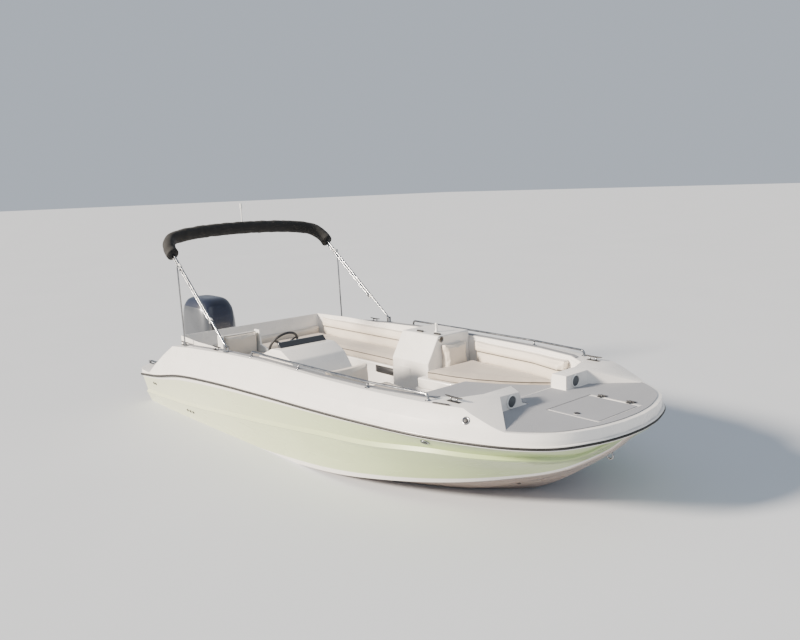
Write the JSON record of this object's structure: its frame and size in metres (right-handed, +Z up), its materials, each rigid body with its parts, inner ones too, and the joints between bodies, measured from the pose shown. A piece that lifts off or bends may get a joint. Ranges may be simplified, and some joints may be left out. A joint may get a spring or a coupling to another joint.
{
  "type": "outboard deck boat",
  "caption": "Open-bow deck boat with a moulded hull, gunwales and foredeck, two consoles, lounge seats, a folding bimini frame and a tilting outboard motor.",
  "frame": {"origin": "on the centreline at the waterline, amidships", "axes": "+X towards the bow, +Y to port, +Z up from the water"},
  "size_m": [7.1842, 2.636, 3.3101],
  "materials": {
    "gelcoat_green": "gloss",
    "gelcoat_white": "gloss",
    "rubber_black": "matt",
    "mat_grey": "matt",
    "vinyl_ivory": "satin",
    "vinyl_tan": "satin",
    "stainless": "polished",
    "canvas_black": "matt",
    "plastic_black": "satin",
    "plastic_white": "gloss",
    "motor_navy": "gloss",
    "motor_silver": "satin",
    "screen_dark": "gloss"
  },
  "bodies": {
    "boat": {"hull": "gelcoat_green", "deck": "gelcoat_white", "cockpit_liner": "gelcoat_white", "rub_rail": "rubber_black", "foredeck_mat": "mat_grey", "cockpit_mat": "mat_grey", "platform_mats": "mat_grey", "gunwale_grips": "mat_grey", "hatch_hinges": "stainless", "bow_step": "mat_grey", "bow_seats": "gelcoat_white", "bow_cushion_port": "vinyl_tan", "bow_cushion_starboard": "vinyl_tan", "bow_back_port": "vinyl_ivory", "bow_back_starboard": "vinyl_ivory", "helm_console": "gelcoat_white", "port_console": "gelcoat_white", "bow_lounge_pads": "vinyl_ivory", "windscreen": "screen_dark", "steering_column": "plastic_black", "instrument_panel": "screen_dark", "console_fittings": "plastic_black", "helm_pedestal": "stainless", "lounge_base": "gelcoat_white", "lounge_cushions": "vinyl_tan", "lounge_backs": "vinyl_ivory", "rail_port": "stainless", "rail_starboard": "stainless", "cleats": "stainless", "deck_fittings": "stainless", "tow_eyes": "stainless", "ladder_mounts": "stainless", "frame_mounts": "stainless", "clamp_bracket": "motor_navy"},
    "hatch": {"bow_hatch": "mat_grey"},
    "wheel": {"steering_wheel": "plastic_black"},
    "helm_chair": {"helm_shell": "plastic_black", "helm_cushion": "vinyl_tan", "helm_back": "vinyl_ivory"},
    "ladder": {"swim_ladder": "stainless"},
    "bimini": {"main_bow": "stainless", "second_bow": "stainless", "boot": "canvas_black", "light_mast": "plastic_white", "leg_clamps": "stainless"},
    "port_strut": {"strut_port": "stainless"},
    "starboard_strut": {"strut_starboard": "stainless"},
    "motor_mount": {"swivel_bracket": "motor_navy"},
    "motor": {"motor_leg": "motor_navy", "motor_cowl": "motor_navy"},
    "screw": {"propeller": "stainless"}
  },
  "joints": [
    {"name": "hatch_lid", "type": "hinge", "parent": "boat", "child": "hatch", "pos_m": [2.8, 0.296, 0.845], "axis": [-1, 0, 0], "range_deg": [0, 100]},
    {"name": "helm_swivel", "type": "hinge", "parent": "boat", "child": "helm_chair", "pos_m": [-1.42, -0.64, 0.61], "axis": [0, 0, 1], "continuous": true},
    {"name": "ladder_fold", "type": "hinge", "parent": "boat", "child": "ladder", "pos_m": [-3.386, -0.8, 0.449], "axis": [0, -1, 0], "range_deg": [0, 250]},
    {"name": "bimini_fold", "type": "hinge", "parent": "boat", "child": "bimini", "pos_m": [-1, 0, 0.987], "axis": [0, 1, 0], "range_deg": [0, 60]},
    {"name": "strut_port_fold", "type": "hinge", "parent": "bimini", "child": "port_strut", "pos_m": [-2.02021, 1.13226, 1.79271], "axis": [0, 1, 0], "range_deg": [-38, 0]},
    {"name": "strut_starboard_fold", "type": "hinge", "parent": "bimini", "child": "starboard_strut", "pos_m": [-2.02021, -1.13226, 1.79271], "axis": [0, 1, 0], "range_deg": [-38, 0]},
    {"name": "outboard_tilt", "type": "hinge", "parent": "boat", "child": "motor_mount", "pos_m": [-3.11, 0, 0.332], "axis": [0, 1, 0], "range_deg": [0, 62]},
    {"name": "outboard_steer", "type": "hinge", "parent": "motor_mount", "child": "motor", "pos_m": [-3.295, 0, 0.1], "axis": [0, 0, 1], "range_deg": [-30, 30]},
    {"name": "helm_wheel_turn", "type": "hinge", "parent": "boat", "child": "wheel", "pos_m": [-0.655, -0.64, 0.985], "axis": [-0.8192, 0, 0.5736], "range_deg": [-540, 540]},
    {"name": "propeller_spin", "type": "hinge", "parent": "motor", "child": "screw", "pos_m": [-3.64, 0, -0.64], "axis": [1, 0, 0], "continuous": true}
  ],
  "couplings": [
    {"joint": "helm_wheel_turn", "follows": "outboard_steer", "ratio": -18}
  ]
}
